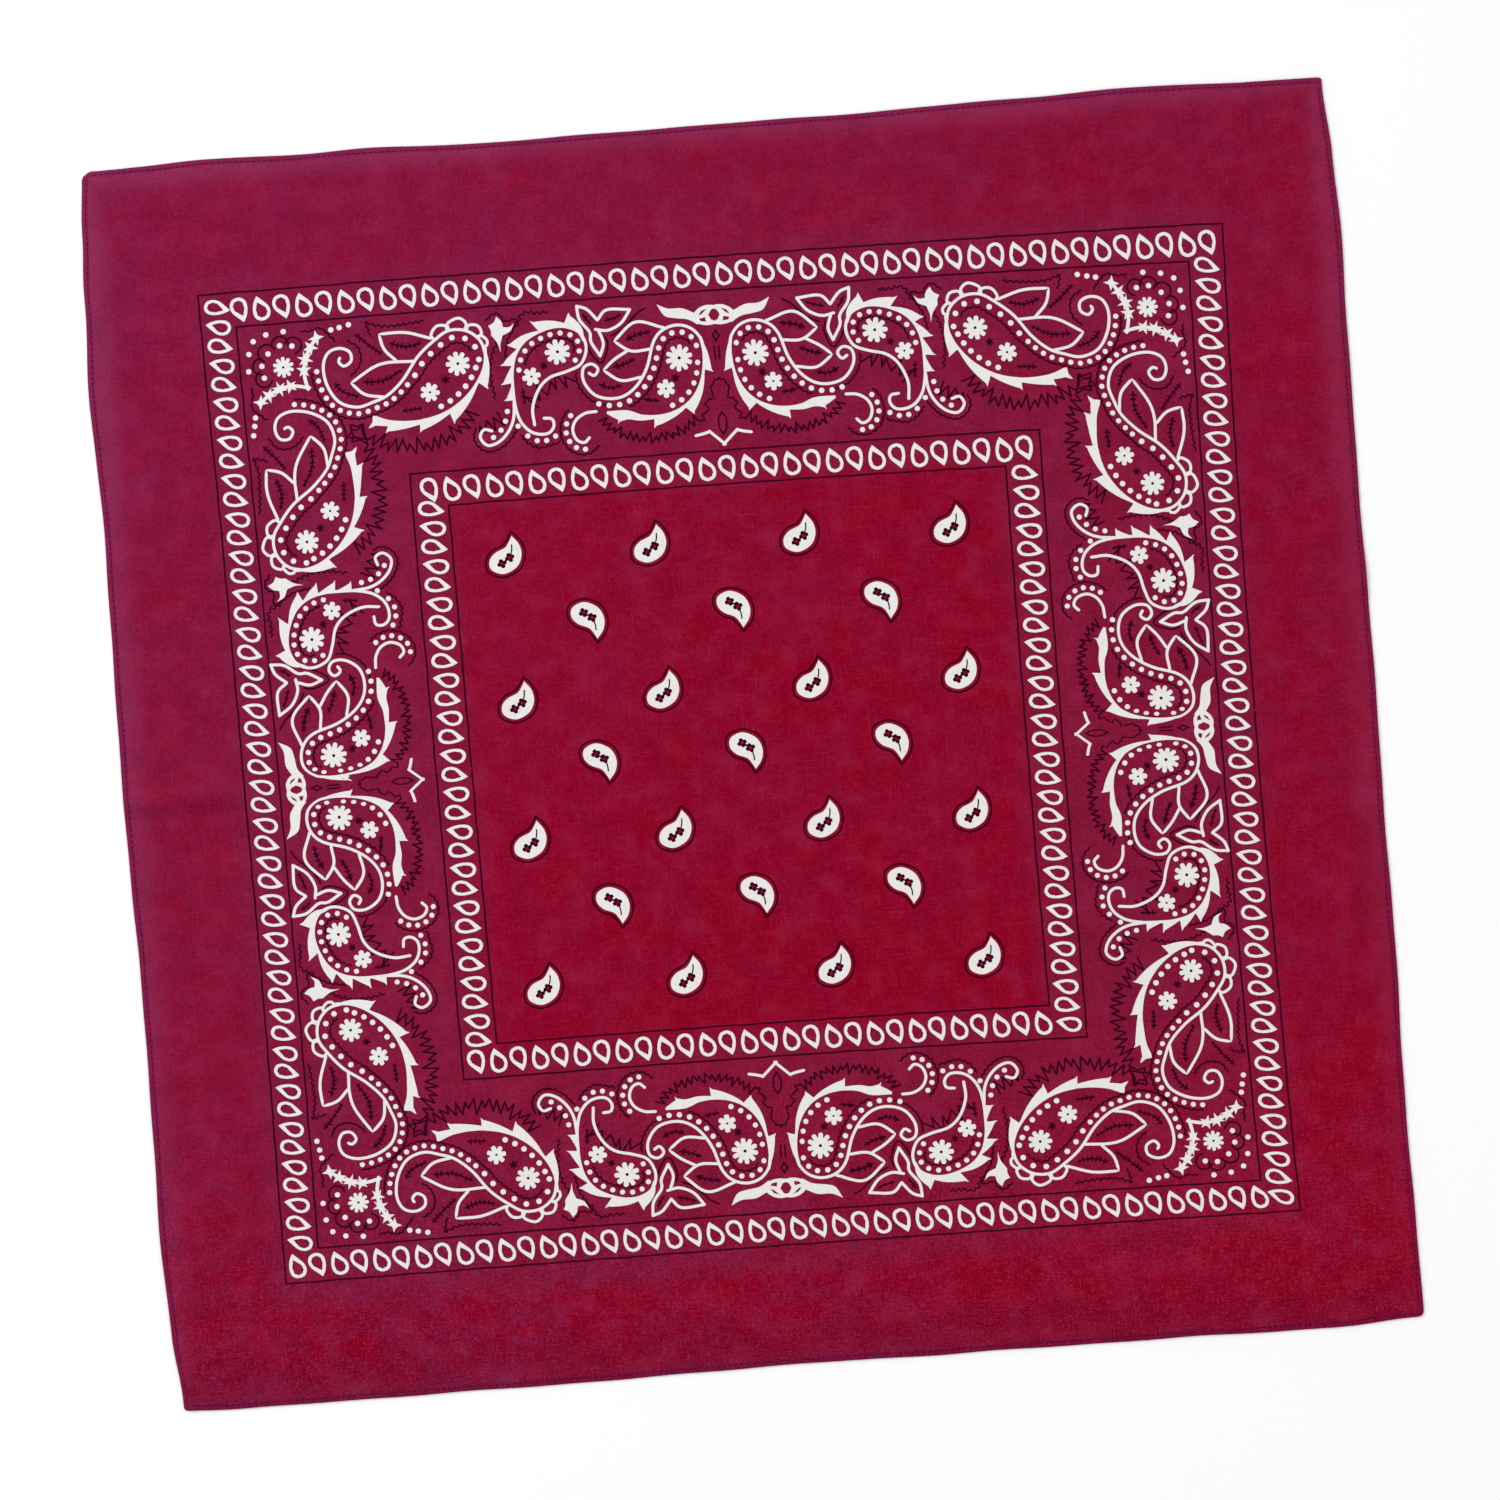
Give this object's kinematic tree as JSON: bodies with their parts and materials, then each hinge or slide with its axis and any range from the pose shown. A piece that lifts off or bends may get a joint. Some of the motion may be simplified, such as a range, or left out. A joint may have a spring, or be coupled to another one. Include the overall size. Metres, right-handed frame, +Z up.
{
  "type": "printed cotton bandana, laid flat",
  "caption": "Square of thin cotton cloth with narrow turned hems and a paisley border print, spread flat on a surface with a few low soft ripples near its edges.",
  "frame": {"origin": "under the middle of the cloth, on the surface it lies on", "axes": "+Z up out of the surface; the sides run along X and Y; +Y is the top of the print and +X its right"},
  "size_m": [0.5578, 0.5548, 0.0031],
  "materials": {
    "cloth": "matt plain-weave cotton, dyed deep red",
    "hem": "the same cotton turned twice, a shade darker",
    "print_white": "matt off-white textile print",
    "print_black": "matt near-black textile print",
    "thread": "cotton sewing thread, slightly glossy"
  },
  "bodies": {
    "root": {"panel": "cloth", "hem_top": "hem", "hem_bottom": "hem", "hem_left": "hem", "hem_right": "hem"}
  },
  "joints": []
}
